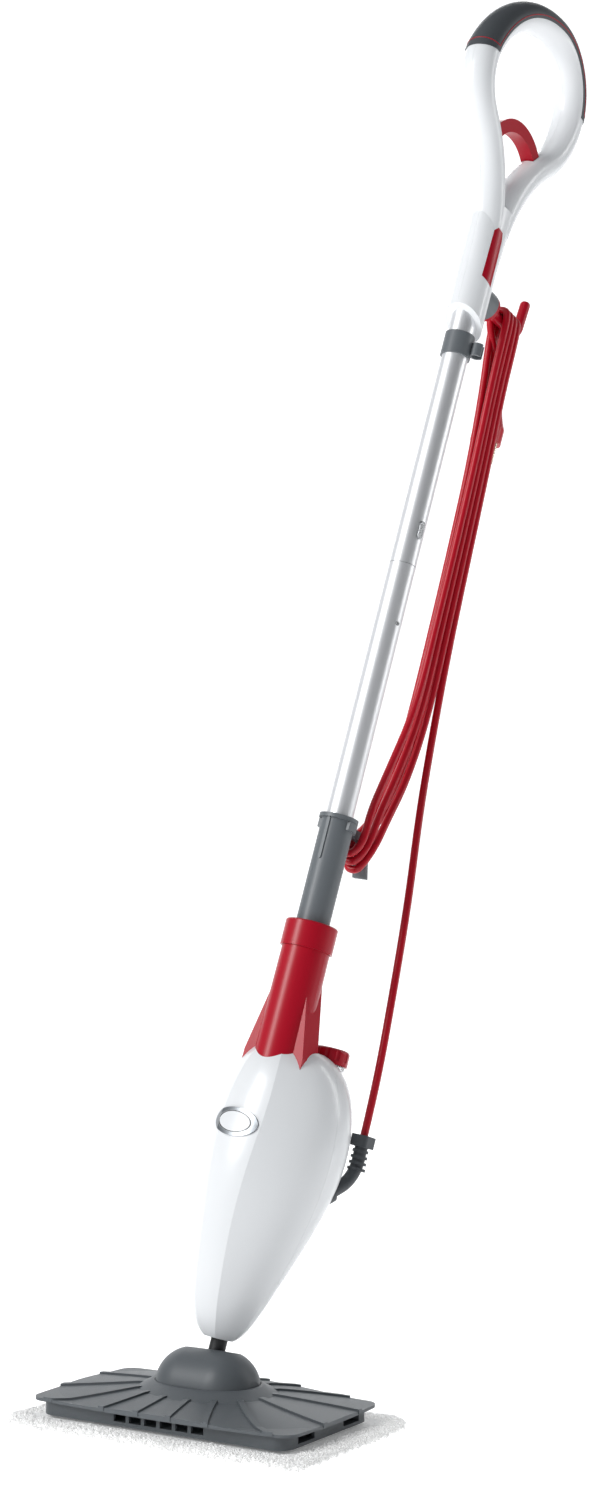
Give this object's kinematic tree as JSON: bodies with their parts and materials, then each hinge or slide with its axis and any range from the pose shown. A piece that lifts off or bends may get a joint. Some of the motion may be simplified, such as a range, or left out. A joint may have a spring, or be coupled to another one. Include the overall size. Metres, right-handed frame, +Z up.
{
  "type": "steam mop",
  "caption": "Upright steam mop with a swivelling foot and white microfibre pad, a white teardrop steam unit, an aluminium pole, a ring handle and its red mains cord.",
  "frame": {"origin": "on the floor under the middle of the pad", "axes": "+Z up; the badge side is the front and looks towards -Y; +X is the right of someone who looks at the back of the mop, towards the front"},
  "size_m": [0.2952, 0.4475, 1.1639],
  "materials": {
    "pad": "looped white microfibre",
    "dark_grey": "fine satin grain",
    "grey": "fine satin grain",
    "tray_metal": "die cast and powder coated dark grey",
    "neck_metal": "satin black",
    "pump_steel": "zinc plated",
    "hook_tape": "hook tape",
    "steel": "bright drawn",
    "white": "gloss",
    "red": "gloss",
    "clear": "clear",
    "boiler": "as cast",
    "aluminium": "satin drawn",
    "black": "matt",
    "cord": "satin",
    "plug": "satin",
    "brass": "bright"
  },
  "bodies": {
    "foot": {"microfibre_pad": "pad", "base_tray": "tray_metal", "hook_strips": "hook_tape", "steam_nozzle": "grey", "foot_cover": "dark_grey", "foot_screws": "steel", "tilt_pins": "steel"},
    "swivel": {"swivel_barrel": "dark_grey", "side_pin": "steel"},
    "cap": {"filler_cap": "red"},
    "button": {"snap_button": "steel"},
    "trigger_lever": {"trigger": "red"},
    "turning_hook": {"upper_hook": "red"},
    "unit": {"neck_stub": "neck_metal", "front_shell": "white", "rear_shell": "white", "oval_badge": "white", "neck_socket": "red", "collar_ring": "red", "pole_sleeve": "grey", "filler_neck": "clear", "water_tank": "clear", "boiler": "boiler", "thermostat": "black", "pump": "pump_steel", "lower_tube": "aluminium", "upper_tube": "aluminium", "tube_joiner": "grey", "tube_screw": "steel", "button_spring": "steel", "clip_ring": "grey", "switch_lead": "cord", "side_inserts": "red", "handle_right": "white", "handle_left": "white", "grip_cover": "grey", "trigger_pin": "steel", "steam_switch": "black", "trigger_spring": "steel", "hook_base": "grey", "lower_hook": "grey", "strain_relief": "dark_grey", "mains_cord": "cord", "cord_tail": "cord", "cord_hank": "cord", "plug_body": "plug", "plug_pins": "brass"}
  },
  "joints": [
    {"name": "fore_aft_tilt", "type": "hinge", "parent": "foot", "child": "swivel", "pos_m": [0, 0.002, 0.031], "axis": [-1, 0, 0], "range_deg": [-15, 45]},
    {"name": "side_tilt", "type": "hinge", "parent": "swivel", "child": "unit", "pos_m": [0, 0.002, 0.031], "axis": [0, 0.9659, -0.2588], "range_deg": [-37.2, 22.8]},
    {"name": "cap_turn", "type": "hinge", "parent": "unit", "child": "cap", "pos_m": [0.05466, 0.09078, 0.27346], "axis": [0.1253, 0.2568, 0.9583], "range_deg": [0, 360]},
    {"name": "hook_turn", "type": "hinge", "parent": "unit", "child": "turning_hook", "pos_m": [0.1138, 0.24964, 0.89726], "axis": [0, 0.9659, -0.2588], "range_deg": [0, 180]},
    {"name": "button_press", "type": "slide", "parent": "unit", "child": "button", "axis": [-0.9583, 0.2813, 0.05], "range_m": [0, 0.0026], "stiffness_N_per_m": 500, "springref_m": -0.002, "deforming": ["button_spring"]},
    {"name": "trigger_pull", "type": "hinge", "parent": "unit", "child": "trigger_lever", "pos_m": [0.1311, 0.30053, 1.02537], "axis": [0.9921, -0.0324, -0.1211], "range_deg": [0, 4], "stiffness_Nm_per_rad": 1, "springref_deg": -2.86, "deforming": ["trigger_spring"]}
  ]
}
